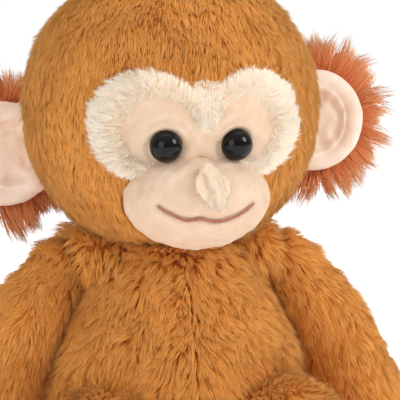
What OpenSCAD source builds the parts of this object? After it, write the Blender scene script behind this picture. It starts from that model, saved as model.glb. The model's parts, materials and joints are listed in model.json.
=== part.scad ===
// Stuffed monkey, sitting with its legs forward. It faces -Y, and its own left is +X.
// Every soft piece is drawn to the middle of its pile. Origin: centre of the flat seat.

/* [Head] */
// Diameter of the stuffed head
head_d = 144; // [140:1:146]
// Height of the head's centre above the seat
head_z = 193; // [192:1:198]
// Distance from the middle of the face to each brow lobe
brow_x = 25; // [23:0.5:26]
// Radius of each brow lobe of the pale mask
brow_r = 30; // [28:0.5:31]
// Width of the border of long pile round the eyes
mask_w = 10; // [8:0.5:12]
// Width of the muzzle
muzzle_w = 74; // [70:1:80]
// Height and depth of the muzzle
muzzle_h = 50; // [48:1:54]
// Diameter of the eye domes
eye_d = 15.6; // [12:0.2:16]
// Angle of each eye off the middle of the face
eye_yaw = 14; // [13:0.2:16]

/* [Ears] */
// Diameter of the velour ear
ear_d = 50; // [44:1:52]
// Diameter of the ear over its fringe of long pile
fringe_d = 66; // [60:1:70]
// How much higher the left ear is sewn than the middle of the two
ear_skew = 6.5; // [0:0.5:7]

/* [Body] */
// Widest radius of the body
belly_r = 66; // [62:1:67]
// Radius of the flat seat
seat_r = 42; // [38:1:46]
// Height at which the body ends below the neck
chest_z = 118; // [114:1:119]
// Radius of the neck
neck_r = 31; // [29:1:31]

/* [Limbs] */
// Radius of the arm at the shoulder
arm_r = 20.5; // [18:0.5:21]
// Length of the arm from the shoulder's centre to the wrist
arm_len = 94; // [84:1:94]
// Angle of the hanging arm away from the body
arm_splay = 27.6; // [27:0.2:34]
// Radius of the leg at the hip
leg_r = 28.5; // [26:0.5:28.5]
// Length of the leg from the hip's centre to the ankle
leg_len = 74; // [66:1:80]
// Angle of each leg out from straight ahead
leg_splay = 12; // [10:1:16]
// Radius of the tail
tail_r = 9.5; // [8:0.5:11]

/* [Hidden] */
$fn = 72;

// Colours of the cloths
fur_brown = "#C17B3B";
fur_cream = "#F5E3C9";
fur_ginger = "#CB824A";
velour = "#ECCDB2";
thread = "#A5685A";
fibre = "#F7F6F2";

fur_t = 4.5; // backing cloth and half the pile of the brown fur
velour_t = 2; // velour and its backing
fit = 0.5; // space between a cover and what fills it
clear = 0.6; // space between two soft pieces that move on each other

head_r = head_d / 2;
head_socket_r = head_r + clear;

// Face: the mask stands proud of the head, and the velour round the eyes lies below it
mask_r = head_r + 5.5;
patch_r = head_r - 1.5;
patch_t = 3;
brow_z = 2;
patch_lobe_r = brow_r - mask_w;
patch_x = 18;
patch_z = -4;
face_depth = 100;

muzzle_y = -58;
muzzle_z = -39.5;
muzzle_back_w = 48;
nose_rise = 33;
nose_w = 18;
nose_h = 25;
smile_half_w = 24;

eye_r = eye_d / 2;
eye_pitch = -9.2;
shank_r = 2;
shank_len = 13;
washer_r = 8;
washer_t = 1.6;

ear_x = 80;
ear_y = 15;
ear_z = -16;
ear_rim_r = 5;
ear_root_r = head_r + 2.6;
fringe_t = 5;

// Neck: a sewn ring round the joint, and a pad of fibre in the opening of the body
seam_r = 1.8;
seam_ring_r = neck_r + seam_r + 0.8;
seam_drop = sqrt(pow(head_r + 0.5 + seam_r, 2) - pow(seam_ring_r, 2));
neck_hole_r = neck_r - 4;
neck_pad_r = 12;
neck_pad_t = 4;

belly_z = 42;
chest_r = 38;
neck_rise = 3;
pellet_bag_r = 24;
pellet_bag_h = 18;
pellet_bag_y = 20;
pellet_bag_z = 16.5;

shoulder_x = 61;
shoulder_y = -4;
shoulder_z = 118;
arm_forward = 8;
wrist_r = 16.5;
hand_r = 16.5;
hand_h = 48;

hip_x = 38;
hip_y = -30;
hip_z = 31;
leg_drop = 5;
ankle_r = 21;
foot_r = 17.5;
foot_h = 56;
leg_swing = 25;

// Tail: it lies on the floor behind the body, in one bend round to the left
tail_y = 66;
tail_z = tail_r + 0.8;
tail_bend_r = 38;
tail_bend = 150;

// Half an ellipse, from bottom to top, as a profile to revolve
function half_ellipse(r, half_h, steps = 18) =
    [for (i = [0 : steps]) let (a = -90 + 180 * i / steps) [r * cos(a), half_h * sin(a)]];

// Radius of the body at a height: a full belly, then a slope to the neck
function body_r(z) = z < belly_z
    ? seat_r + (belly_r - seat_r) * pow(sin(90 * z / belly_z), 0.8)
    : chest_r + (belly_r - chest_r) * pow(cos(90 * (z - belly_z) / (chest_z - belly_z)), 1.2);

// Profile of the body, inset by the thickness of its cover
function body_profile(inset) = concat(
    [[0, inset], [body_r(0) - inset, inset]],
    [for (i = [1 : 19]) let (z = chest_z * i / 19) if (z > inset) [body_r(z) - inset, z]],
    [[neck_r - inset, chest_z + neck_rise], [neck_r - inset, head_z - head_r + 16]],
    [[0, head_z - head_r + 16]]
);

// Profile of a limb that hangs from the origin: a round top, then an even taper
function limb_profile(top_r, end_r, length, inset) = concat(
    [for (a = [90 : -9 : 0]) [(top_r - inset) * cos(a), (top_r - inset) * sin(a)]],
    [[end_r - inset, -length], [0, -length]]
);

module in_head() {
    translate([0, 0, head_z]) children();
}

module head_shell(outer, inner) {
    difference() {
        sphere(r = outer);
        sphere(r = inner);
    }
}

// Two round lobes side by side, drawn as prisms that run forward from the head's centre
module lobes(x, z, r) {
    for (side = [-1, 1])
        translate([side * x, 0, z]) rotate([90, 0, 0]) cylinder(r = r, h = face_depth);
}

// The part of the face inside the border of long pile
module eye_field(margin) {
    lobes(patch_x, patch_z, patch_lobe_r + margin);
    translate([-patch_x, -face_depth, patch_z - 22]) cube([2 * patch_x, face_depth, 18]);
}

module muzzle_form(inset) {
    translate([0, muzzle_y, muzzle_z]) rotate([0, 90, 0])
        rotate_extrude() polygon(half_ellipse(muzzle_h / 2 - inset, muzzle_w / 2 - inset));
}

// Frame of one eye: the origin is the head's centre and -Y runs out through the eye
module at_eye(side) {
    in_head() rotate([-eye_pitch, 0, side * eye_yaw]) children();
}

module head_cover() {
    color(fur_brown) in_head() difference() {
        rotate_extrude() polygon(half_ellipse(head_r, head_r, 36));
        rotate_extrude() polygon(half_ellipse(head_r - fur_t, head_r - fur_t, 36));
        lobes(brow_x, brow_z, brow_r + 0.4);
        translate([-muzzle_back_w / 2, -face_depth, muzzle_z - 10])
            cube([muzzle_back_w, face_depth, 40]);
    }
}

module head_stuffing() {
    color(fibre) difference() {
        in_head() sphere(r = head_r - fur_t - fit);
        for (side = [-1, 1]) at_eye(side) rotate([90, 0, 0]) {
            cylinder(r = shank_r + 0.4, h = head_r);
            translate([0, 0, patch_r - patch_t - washer_t - 1.4])
                cylinder(r = washer_r + 0.5, h = 10);
        }
    }
}

module face_patch() {
    color(velour) difference() {
        in_head() difference() {
            intersection() {
                head_shell(patch_r, patch_r - patch_t);
                eye_field(-0.3);
            }
            muzzle_form(-0.3);
        }
        for (side = [-1, 1]) at_eye(side)
            rotate([90, 0, 0]) cylinder(r = shank_r + 0.2, h = face_depth);
    }
}

module brow_mask() {
    color(fur_cream) in_head() difference() {
        intersection() {
            head_shell(mask_r, head_r - 4);
            lobes(brow_x, brow_z, brow_r);
        }
        eye_field(0);
        muzzle_form(-0.3);
    }
}

module muzzle_cover() {
    color(velour) in_head() difference() {
        muzzle_form(0);
        muzzle_form(velour_t);
        sphere(r = head_r + 0.3);
    }
}

module muzzle_stuffing() {
    color(fibre) in_head() difference() {
        muzzle_form(velour_t + fit);
        sphere(r = head_r + 0.3);
    }
}

// A folded diamond of cloth, stitched down along its upper edges
module nose() {
    color(velour) in_head() translate([1, muzzle_y, muzzle_z]) rotate([90 - nose_rise, 0, 0])
        translate([0, 0, muzzle_h / 2 + 0.3]) scale([nose_w / nose_h, 1, 1])
            cylinder(r1 = nose_h / 2, r2 = nose_h / 3, h = 3, $fn = 4);
}

// The smile: a row of close stitches on the muzzle, which turns up at its ends
function smile_z(x) = muzzle_z - 6.6 + 8 * pow(abs(x) / smile_half_w, 2.4);
function muzzle_front_y(x, z) = muzzle_y - sqrt(
    pow(muzzle_h / 2 + 0.9, 2) * (1 - pow(x / (muzzle_w / 2 + 0.9), 2)) - pow(z - muzzle_z, 2));
module mouth_stitching() {
    color(thread) in_head() for (i = [-12 : 12]) {
        x = smile_half_w * i / 12;
        z = smile_z(x);
        translate([x, muzzle_front_y(x, z), z]) sphere(r = 0.8, $fn = 16);
    }
}

module eye(side) {
    color("#141213") at_eye(side) rotate([90, 0, 0]) {
        difference() {
            translate([0, 0, patch_r + 0.2]) sphere(r = eye_r);
            cylinder(r = eye_r + 1, h = patch_r + 0.2);
        }
        translate([0, 0, patch_r + 0.5 - shank_len]) cylinder(r = shank_r, h = shank_len);
    }
}

module eye_washer(side) {
    color("white") at_eye(side) rotate([90, 0, 0])
        translate([0, 0, patch_r - patch_t - washer_t - 0.9]) difference() {
            cylinder(r = washer_r, h = washer_t);
            translate([0, 0, -1]) cylinder(r = shank_r + 0.1, h = washer_t + 2);
        }
}

module at_ear(side) {
    in_head() difference() {
        translate([side * ear_x, ear_y, ear_z + side * ear_skew]) rotate([90, 0, 0]) children();
        sphere(r = ear_root_r);
    }
}

module ear_lining(side) {
    color(velour) at_ear(side) rotate_extrude() {
        translate([ear_d / 2 - ear_rim_r, 0]) circle(r = ear_rim_r, $fn = 12);
        translate([0, -ear_rim_r + 0.5]) square([ear_d / 2 - ear_rim_r, 4]);
    }
}

module ear_fringe(side) {
    color(fur_ginger) at_ear(side)
        translate([0, 0, -ear_rim_r - 0.4 - fringe_t]) cylinder(d = fringe_d, h = fringe_t);
}

module neck_seam() {
    color(thread) translate([0, 0, head_z - seam_drop])
        rotate_extrude() translate([seam_ring_r, 0]) circle(r = seam_r);
}

module neck_stuffing() {
    color(fibre) intersection() {
        in_head() head_shell(head_r + 0.5 + neck_pad_t, head_r + 0.5);
        cylinder(r = neck_pad_r, h = head_z - head_r + 10);
    }
}

// The body, with the hollows in which the head, the shoulders and the thighs lie
module body_form(inset) {
    difference() {
        rotate_extrude() polygon(body_profile(inset));
        in_head() sphere(r = head_socket_r + inset);
        for (side = [-1, 1]) {
            translate([side * shoulder_x, shoulder_y, shoulder_z])
                sphere(r = arm_r + clear + inset);
            thigh_hollow(side, inset);
        }
    }
}

// Room for one thigh to swing outward: round at the hip, and flared to the front
module thigh_hollow(side, inset) {
    wall = leg_r + clear + inset;
    outer = leg_splay + leg_swing;
    inner = leg_splay - 6;
    back = [for (i = [0 : 14]) let (a = outer + (180 + inner - outer) * i / 14)
        1.003 * wall * [cos(a), sin(a)]];
    front = [
        back[14] + face_depth * [sin(inner), -cos(inner)],
        back[0] + face_depth * [sin(outer), -cos(outer)]
    ];
    translate([side * hip_x, hip_y, -1]) linear_extrude(height = hip_z + leg_r + 2 + inset)
        polygon([for (p = concat(back, front)) [side * p[0], p[1]]]);
}

module torso_cover() {
    color(fur_brown) difference() {
        body_form(0);
        body_form(fur_t);
        translate([0, 0, chest_z - 8]) cylinder(r = neck_hole_r, h = 30);
    }
}

module torso_stuffing() {
    color(fibre) difference() {
        body_form(fur_t + fit);
        pellet_form(-fit);
    }
}

module pellet_form(inset) {
    translate([0, pellet_bag_y, pellet_bag_z]) rotate_extrude()
        polygon(half_ellipse(pellet_bag_r - inset, pellet_bag_h / 2 - inset));
}

module pellet_bag() {
    color("#DCE3E6") pellet_form(0);
}

// Frame of one arm: the origin is the shoulder's centre, and the arm runs along -Z
module at_shoulder(side) {
    translate([side * shoulder_x, shoulder_y, shoulder_z])
        rotate([-arm_forward, -side * arm_splay, 0]) children();
}

module arm_form(inset, extra) {
    rotate_extrude() polygon(limb_profile(arm_r, wrist_r, arm_len + extra, inset));
}

module arm_cover(side) {
    color(fur_brown) at_shoulder(side) difference() {
        arm_form(0, 0);
        arm_form(fur_t, 1);
    }
}

module arm_stuffing(side) {
    color(fibre) at_shoulder(side) arm_form(fur_t + fit, 0);
}

// A velour mitten with a thumb on its inner, front side
module hand(side) {
    color(velour) at_shoulder(side) difference() {
        union() {
            translate([0, 0, -arm_len - 0.4 - hand_h / 2 + 10]) rotate_extrude()
                polygon(half_ellipse(hand_r, hand_h / 2));
            translate([-side * 11, -9, -arm_len - 14]) rotate([0, -side * 28, 0]) sphere(r = 7);
        }
        translate([0, 0, -arm_len - 0.4]) cylinder(r = 40, h = 60);
    }
}

// Frame of one leg: the origin is the hip's centre, and the leg runs along -Z
module at_hip(side) {
    translate([side * hip_x, hip_y, hip_z]) rotate([-90 + leg_drop, 0, side * leg_splay])
        children();
}

module leg_form(inset, extra) {
    rotate_extrude() polygon(limb_profile(leg_r, ankle_r, leg_len + extra, inset));
}

module leg_cover(side) {
    color(fur_brown) at_hip(side) difference() {
        leg_form(0, 0);
        leg_form(fur_t, 1);
    }
}

module leg_stuffing(side) {
    color(fibre) at_hip(side) leg_form(fur_t + fit, 0);
}

// A foot that stands up on its heel, with the big toe on its inner side
module foot(side) {
    color(velour) at_hip(side) difference() {
        union() {
            translate([0, -5.5, -leg_len - 8]) rotate([90 - leg_drop, 0, 0]) rotate_extrude()
                polygon(half_ellipse(foot_r, foot_h / 2));
            translate([-side * 12, -22, -leg_len - 12]) sphere(r = 8.5);
        }
        translate([0, 0, -leg_len - 0.4]) cylinder(r = 60, h = 80);
    }
}

// Frame of the tail's bend: the origin is its centre, and it starts at angle 0
module at_tail_bend() {
    translate([tail_bend_r, tail_y, tail_z]) rotate([0, 0, 180 - tail_bend]) children();
}

// A round end for the tail, which closes a flat face of the bend
module tail_dome() {
    r = tail_r - 0.2;
    rotate_extrude() polygon(concat([[0, -1], [r, -1]], [for (a = [0 : 10 : 90]) r * [cos(a), sin(a)]]));
}

module tail_tube(inset) {
    rotate_extrude(angle = tail_bend) translate([tail_bend_r, 0]) circle(r = tail_r - inset);
}

// A bend with a round root, on which it turns, and a round tip
module tail_cover() {
    color(fur_brown) at_tail_bend() difference() {
        union() {
            tail_tube(0);
            translate([tail_bend_r, 0, 0]) rotate([90, 0, 0]) tail_dome();
            rotate([0, 0, tail_bend]) translate([tail_bend_r, 0, 0]) rotate([-90, 0, 0]) tail_dome();
        }
        tail_tube(fur_t - 1);
    }
}

module tail_stuffing() {
    color(fibre) at_tail_bend() tail_tube(fur_t - 1 + fit);
}

head_cover();
head_stuffing();
face_patch();
brow_mask();
muzzle_cover();
muzzle_stuffing();
nose();
mouth_stitching();
eye(1);  // eye_left
eye(-1);  // eye_right
eye_washer(1);  // eye_washer_left
eye_washer(-1);  // eye_washer_right
ear_lining(1);  // ear_lining_left
ear_lining(-1);  // ear_lining_right
ear_fringe(1);  // ear_fringe_left
ear_fringe(-1);  // ear_fringe_right
neck_seam();
neck_stuffing();
torso_cover();
torso_stuffing();
pellet_bag();
arm_cover(1);  // arm_cover_left
arm_cover(-1);  // arm_cover_right
arm_stuffing(1);  // arm_stuffing_left
arm_stuffing(-1);  // arm_stuffing_right
hand(1);  // hand_left
hand(-1);  // hand_right
leg_cover(1);  // leg_cover_left
leg_cover(-1);  // leg_cover_right
leg_stuffing(1);  // leg_stuffing_left
leg_stuffing(-1);  // leg_stuffing_right
foot(1);  // foot_left
foot(-1);  // foot_right
tail_cover();
tail_stuffing();
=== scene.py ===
"""Looks of the stuffed monkey: sewn skins, stuffed by cloth simulation, with their pile as closed strands.

Shapes are worked out in millimetres, in the frame of the CAD model, and stored in metres.
"""

import json
import math

import bmesh
import bpy
import numpy as np
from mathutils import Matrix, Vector


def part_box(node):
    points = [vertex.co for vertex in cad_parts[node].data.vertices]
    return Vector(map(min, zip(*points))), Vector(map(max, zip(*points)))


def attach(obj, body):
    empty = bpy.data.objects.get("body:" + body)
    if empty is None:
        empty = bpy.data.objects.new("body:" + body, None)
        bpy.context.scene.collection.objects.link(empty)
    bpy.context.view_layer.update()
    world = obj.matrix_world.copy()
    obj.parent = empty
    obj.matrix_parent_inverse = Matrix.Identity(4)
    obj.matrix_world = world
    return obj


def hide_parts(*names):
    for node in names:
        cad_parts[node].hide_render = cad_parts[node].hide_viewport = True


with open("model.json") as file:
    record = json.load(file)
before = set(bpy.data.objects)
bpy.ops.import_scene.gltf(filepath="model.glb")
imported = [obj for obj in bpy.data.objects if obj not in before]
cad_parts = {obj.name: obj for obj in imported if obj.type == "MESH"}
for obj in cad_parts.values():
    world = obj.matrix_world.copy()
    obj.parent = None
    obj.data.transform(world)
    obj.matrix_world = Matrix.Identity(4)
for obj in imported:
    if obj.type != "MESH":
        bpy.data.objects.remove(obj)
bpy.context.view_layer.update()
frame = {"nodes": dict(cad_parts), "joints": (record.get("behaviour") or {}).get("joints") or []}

MM = 0.001
pivot = {j["name"]: np.array(j["pos_m"]) / MM for j in frame["joints"]}
HEAD = pivot["head_turn"]
SIDES = {1: "left", -1: "right"}
FORWARD, DOWN = np.array([0.0, -1.0, 0.0]), np.array([0.0, 0.0, -1.0])

# ---------------------------------------------------------------- camera, light and floor
AZIMUTH, ELEVATION = math.radians(-13.5), math.radians(8)
cam_right = np.array([math.cos(AZIMUTH), math.sin(AZIMUTH), 0])
cam_back = np.array([
    math.sin(AZIMUTH) * math.cos(ELEVATION),
    -math.cos(AZIMUTH) * math.cos(ELEVATION),
    math.sin(ELEVATION),
])
cam_up = np.cross(cam_back, cam_right)
aim = HEAD + 15.25 * cam_right - 46 * cam_up

scene = bpy.context.scene
scene.view_settings.view_transform = "Standard"
scene.cycles.diffuse_bounces = 8


def aimed(ob, place, target):
    """Puts a camera or light at a place, in mm, facing a target."""
    ob.location = Vector(place) * MM
    ob.rotation_euler = (Vector(target) - Vector(place)).to_track_quat("-Z", "Y").to_euler()
    scene.collection.objects.link(ob)
    return ob


camera_data = bpy.data.cameras.new("camera")
camera_data.lens, camera_data.sensor_width = 180, 36
camera_data.clip_start, camera_data.clip_end = 0.05, 60
scene.camera = aimed(bpy.data.objects.new("camera", camera_data), aim + 1000 * cam_back, aim)


def soft_light(name, place, size, watts, colour=(1, 1, 1)):
    data = bpy.data.lights.new(name, "AREA")
    data.shape, data.size, data.energy, data.color = "DISK", size, watts, colour
    aimed(bpy.data.objects.new(name, data), place, HEAD + 30 * DOWN)


soft_light("key", (900, -650, 800), 0.6, 6.8, (1.0, 0.985, 0.96))
soft_light("fill", (-900, -900, 520), 0.9, 3.9, (1.0, 0.99, 0.97))
soft_light("top", (100, 200, 1250), 0.9, 3.2)

world = bpy.data.worlds.new("studio")
scene.world = world
world.use_nodes = True
glow = world.node_tree.nodes["Background"]
glow.inputs["Color"].default_value = (1, 1, 1, 1)
glow.inputs["Strength"].default_value = 1.0
above = world.node_tree.nodes.new("ShaderNodeSeparateXYZ")
sky = world.node_tree.nodes.new("ShaderNodeTexCoord")
fall = world.node_tree.nodes.new("ShaderNodeValToRGB")
fall.color_ramp.elements[0].position, fall.color_ramp.elements[0].color = 0.45, (0.42, 0.42, 0.42, 1)
fall.color_ramp.elements[1].position, fall.color_ramp.elements[1].color = 1.0, (0.92, 0.92, 0.92, 1)
world.node_tree.links.new(sky.outputs["Generated"], above.inputs["Vector"])
world.node_tree.links.new(above.outputs["Z"], fall.inputs["Fac"])
world.node_tree.links.new(fall.outputs["Color"], glow.inputs["Color"])
backdrop = world.node_tree.nodes.new("ShaderNodeBackground")
backdrop.inputs["Color"].default_value = (1, 1, 1, 1)
pick = world.node_tree.nodes.new("ShaderNodeMixShader")
rays = world.node_tree.nodes.new("ShaderNodeLightPath")
world.node_tree.links.new(rays.outputs["Is Camera Ray"], pick.inputs["Fac"])
world.node_tree.links.new(glow.outputs["Background"], pick.inputs[1])
world.node_tree.links.new(backdrop.outputs["Background"], pick.inputs[2])
world.node_tree.links.new(pick.outputs["Shader"], world.node_tree.nodes["World Output"].inputs["Surface"])


# ---------------------------------------------------------------- materials
def srgb(r, g, b):
    """Linear colour of an 8-bit one."""
    c = np.array([r, g, b]) / 255
    lin = np.where(c <= 0.04045, c / 12.92, ((c + 0.055) / 1.055) ** 2.4)
    return (*[float(x) for x in lin], 1.0)


def new_material(name, **values):
    mat = bpy.data.materials.new(name)
    mat.use_nodes = True
    bsdf = mat.node_tree.nodes["Principled BSDF"]
    for key, value in values.items():
        bsdf.inputs[key.replace("_", " ")].default_value = value
    return mat, mat.node_tree, bsdf


def ramp(tree, fac, stops):
    node = tree.nodes.new("ShaderNodeValToRGB")
    elements = node.color_ramp.elements
    while len(elements) < len(stops):
        elements.new(0.5)
    for element, (place, colour) in zip(elements, stops):
        element.position, element.color = place, colour
    tree.links.new(fac, node.inputs["Fac"])
    return node.outputs["Color"]


def noise(tree, scale, detail=3.0, roughness=0.6, distortion=0.0):
    coords = tree.nodes.new("ShaderNodeTexCoord")
    node = tree.nodes.new("ShaderNodeTexNoise")
    node.inputs["Scale"].default_value = scale
    node.inputs["Detail"].default_value = detail
    node.inputs["Roughness"].default_value = roughness
    node.inputs["Distortion"].default_value = distortion
    tree.links.new(coords.outputs["Object"], node.inputs["Vector"])
    return node.outputs["Fac"]


def mixed(tree, a, b, factor=1.0):
    node = tree.nodes.new("ShaderNodeMix")
    node.data_type, node.blend_type = "RGBA", "MULTIPLY"
    node.inputs["Factor"].default_value = factor
    tree.links.new(a, node.inputs["A"])
    tree.links.new(b, node.inputs["B"])
    return node.outputs["Result"]


def bumped(tree, bsdf, heights):
    """Chains bumps, each (height socket, strength, distance in metres)."""
    last = None
    for height, strength, distance in heights:
        node = tree.nodes.new("ShaderNodeBump")
        node.inputs["Strength"].default_value = strength
        node.inputs["Distance"].default_value = distance
        tree.links.new(height, node.inputs["Height"])
        if last:
            tree.links.new(last, node.inputs["Normal"])
        last = node.outputs["Normal"]
    tree.links.new(last, bsdf.inputs["Normal"])


def mottled(tree, bsdf, scale, detail, dark, light):
    """Base colour that varies between two tones."""
    colour = ramp(tree, noise(tree, scale, detail), [(0.3, dark), (0.7, light)])
    tree.links.new(colour, bsdf.inputs["Base Color"])


def pile_material(name, root, low, high, tip, tint, sheen):
    """Pile: its UV map holds a shade across and the way from root to tip upwards."""
    mat, tree, bsdf = new_material(
        name, Roughness=0.75, Specular_IOR_Level=0.3,
        Sheen_Weight=sheen, Sheen_Roughness=0.5, Sheen_Tint=tint,
    )
    uv = tree.nodes.new("ShaderNodeUVMap")
    uv.uv_map = "OFBake"
    split = tree.nodes.new("ShaderNodeSeparateXYZ")
    tree.links.new(uv.outputs["UV"], split.inputs["Vector"])
    # The colour darkens toward the root and lightens toward the tip: painted shade deep in the pile.
    along = ramp(tree, split.outputs["Y"], [(0.0, root), (0.3, low), (0.65, high), (1.0, tip)])
    shades = [(0.0, (0.82, 0.78, 0.74, 1)), (0.5, (0.96, 0.95, 0.94, 1)), (1.0, (1.0, 1.0, 1.0, 1))]
    shade = ramp(tree, split.outputs["X"], shades)
    tree.links.new(mixed(tree, along, shade), bsdf.inputs["Base Color"])
    return mat


def backing_material(name, dark, light):
    """The knitted cloth that the pile is rooted in, seen only between the strands, in darker tones that paint
    the shade deep in the pile.
    """
    mat, tree, bsdf = new_material(name, Roughness=0.9, Sheen_Weight=0.2)
    mottled(tree, bsdf, 420, 4, dark, light)
    bumped(tree, bsdf, [(noise(tree, 1400, 2), 0.6, 0.0004)])
    return mat


def velour_material(name, dark, mid, light, sheen=0.35):
    """Short-pile velour: mottled nap, and a pile too fine to see one by one."""
    mat, tree, bsdf = new_material(
        name, Roughness=0.82, Sheen_Weight=sheen, Sheen_Roughness=0.4,
        Sheen_Tint=(1.0, 0.93, 0.86, 1.0),
    )
    nap = ramp(tree, noise(tree, 70, 5, 0.65, 0.6), [(0.28, dark), (0.5, mid), (0.72, light)])
    grain = ramp(tree, noise(tree, 1900, 3, 0.7), [(0.3, (0.88, 0.84, 0.8, 1)), (0.7, (1, 1, 1, 1))])
    tree.links.new(mixed(tree, nap, grain, 0.6), bsdf.inputs["Base Color"])
    rough = tree.nodes.new("ShaderNodeMapRange")
    rough.inputs["To Min"].default_value, rough.inputs["To Max"].default_value = 0.7, 0.92
    tree.links.new(noise(tree, 300, 3), rough.inputs["Value"])
    tree.links.new(rough.outputs["Result"], bsdf.inputs["Roughness"])
    bumped(tree, bsdf, [
        (noise(tree, 160, 4, 0.6, 0.4), 0.35, 0.0010),
        (noise(tree, 2300, 3, 0.75), 0.5, 0.0003),
    ])
    return mat


# Each pile's root colour is darker than its tip colour: painted shade deep in the pile.
BROWN = pile_material(
    "pile_brown", srgb(220, 122, 38), srgb(242, 150, 60), srgb(252, 170, 78), srgb(255, 192, 108),
    (1.0, 0.62, 0.3, 1.0), 0.35,
)
CREAM = pile_material(
    "pile_cream", srgb(255, 231, 203), srgb(255, 237, 213), srgb(255, 241, 221), srgb(255, 244, 227),
    (1.0, 0.93, 0.82, 1.0), 0.3,
)
GINGER = pile_material(
    "pile_ginger", srgb(206, 112, 60), srgb(222, 132, 76), srgb(232, 156, 100), srgb(250, 206, 166),
    (1.0, 0.7, 0.5, 1.0), 0.3,
)
# The backings take the pile's darker root tones: painted shade between the strands.
BROWN_BACK = backing_material("backing_brown", srgb(214, 118, 42), srgb(236, 146, 62))
CREAM_BACK = backing_material("backing_cream", srgb(244, 222, 190), srgb(252, 234, 208))
GINGER_BACK = backing_material("backing_ginger", srgb(206, 126, 78), srgb(232, 160, 112))
# The ears' lining is the face's velour painted paler: painted light, a lit copy of the same cloth.
EAR_VELOUR_PAINTED_LIGHT = velour_material(
    "velour_ear_painted_light", srgb(236, 210, 187), srgb(243, 222, 202), srgb(250, 233, 218), 0.45
)
VELOUR = velour_material("velour", srgb(221, 188, 159), srgb(229, 200, 173), srgb(237, 211, 187))
NOSE_VELOUR = velour_material("velour_pale", srgb(244, 212, 184), srgb(250, 226, 200), srgb(255, 238, 216))
FIBRE = velour_material("fibre", srgb(232, 230, 224), srgb(244, 243, 239), srgb(252, 252, 250), 0.1)
SACKING = velour_material("sacking", srgb(196, 204, 210), srgb(212, 219, 224), srgb(226, 231, 234), 0.0)

THREAD, tree, bsdf = new_material("thread_rose", Roughness=0.55, Sheen_Weight=0.3)
mottled(tree, bsdf, 900, 3, srgb(156, 88, 66), srgb(194, 122, 96))
bumped(tree, bsdf, [(noise(tree, 2600, 2), 0.5, 0.0002)])

GLOSS, tree, bsdf = new_material("eye_black", Roughness=0.1, Specular_IOR_Level=0.27)
mottled(tree, bsdf, 250, 3, srgb(4, 2, 2), srgb(12, 8, 8))
rough = tree.nodes.new("ShaderNodeMapRange")
rough.inputs["To Min"].default_value, rough.inputs["To Max"].default_value = 0.05, 0.13
tree.links.new(noise(tree, 500, 4), rough.inputs["Value"])
tree.links.new(rough.outputs["Result"], bsdf.inputs["Roughness"])

WASHER, tree, bsdf = new_material("washer_white", Roughness=0.45)
mottled(tree, bsdf, 300, 3, srgb(228, 228, 224), srgb(244, 244, 241))
bumped(tree, bsdf, [(noise(tree, 1500, 2), 0.2, 0.0001)])

FLOOR, tree, bsdf = new_material(
    "floor_white", Roughness=0.6, Emission_Color=(1, 1, 1, 1), Emission_Strength=0.46
)
mottled(tree, bsdf, 3, 2, (0.9, 0.9, 0.9, 1), (0.93, 0.93, 0.93, 1))


# ---------------------------------------------------------------- shape helpers
def unit(v):
    return v / np.maximum(np.linalg.norm(v, axis=-1, keepdims=True), 1e-9)


def rot(axis, degrees):
    a = math.radians(degrees)
    c, s = math.cos(a), math.sin(a)
    i, j = {"x": (1, 2), "y": (2, 0), "z": (0, 1)}[axis]
    m = np.eye(3)
    m[i, i] = m[j, j] = c
    m[i, j], m[j, i] = -s, s
    return m


def smoothstep(x, lo, hi):
    t = np.clip((x - lo) / (hi - lo), 0, 1)
    return t * t * (3 - 2 * t)


def waves(p, length, seed, components=5):
    """Smooth noise with three components, about 1 strong, that varies over a length."""
    draw = np.random.default_rng(seed)
    out = np.zeros((len(p), 3))
    for _ in range(components):
        k = unit(draw.normal(size=(3, 3))) * draw.uniform(0.6, 1.8, (3, 1)) * 2 * math.pi / length
        out += np.sin(p @ k.T + draw.uniform(0, 2 * math.pi, 3))
    return out / math.sqrt(components)


def build(name, co, faces):
    me = bpy.data.meshes.new(name)
    me.from_pydata((np.asarray(co, float) * MM).tolist(), [], [[int(i) for i in f] for f in faces])
    me.update()
    ob = bpy.data.objects.new(name, me)
    scene.collection.objects.link(ob)
    return ob


def together(*shapes):
    co, faces, n = [], [], 0
    for c, f in shapes:
        co.append(np.asarray(c, float))
        faces += [[i + n for i in face] for face in f]
        n += len(c)
    return np.vstack(co), faces


def ball(centre, radii, level=4):
    bm = bmesh.new()
    bmesh.ops.create_icosphere(bm, subdivisions=level, radius=1)
    co = np.array([v.co for v in bm.verts]) * np.asarray(radii, float) + np.asarray(centre, float)
    faces = [[v.index for v in f.verts] for f in bm.faces]
    bm.free()
    return co, faces


def revolve(profile, n=72):
    """Closed surface of revolution about Z of (r, z) pairs that start and end on the axis."""
    turn = np.linspace(0, 2 * math.pi, n, endpoint=False)
    middle = profile[1:-1]
    co = [(0, 0, profile[0][1])]
    for r, z in middle:
        co += [(r * math.cos(t), r * math.sin(t), z) for t in turn]
    co.append((0, 0, profile[-1][1]))
    faces = [[0, 1 + (i + 1) % n, 1 + i] for i in range(n)]
    for k in range(len(middle) - 1):
        a, b = 1 + k * n, 1 + (k + 1) * n
        faces += [[a + i, a + (i + 1) % n, b + (i + 1) % n, b + i] for i in range(n)]
    a, last = 1 + (len(middle) - 1) * n, len(co) - 1
    faces += [[a + i, a + (i + 1) % n, last] for i in range(n)]
    return np.array(co), faces


def slab(front, back, rows, cols, wrap):
    """Closed sheet between two grids of rows x cols points; the last row is the rim."""
    n = rows * cols
    faces = []
    for r in range(rows - 1):
        for c in range(cols if wrap else cols - 1):
            q = [r * cols + c, r * cols + (c + 1) % cols, (r + 1) * cols + (c + 1) % cols, (r + 1) * cols + c]
            faces += [q, [i + n for i in q[::-1]]]
    return np.vstack([front, back]), faces


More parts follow.
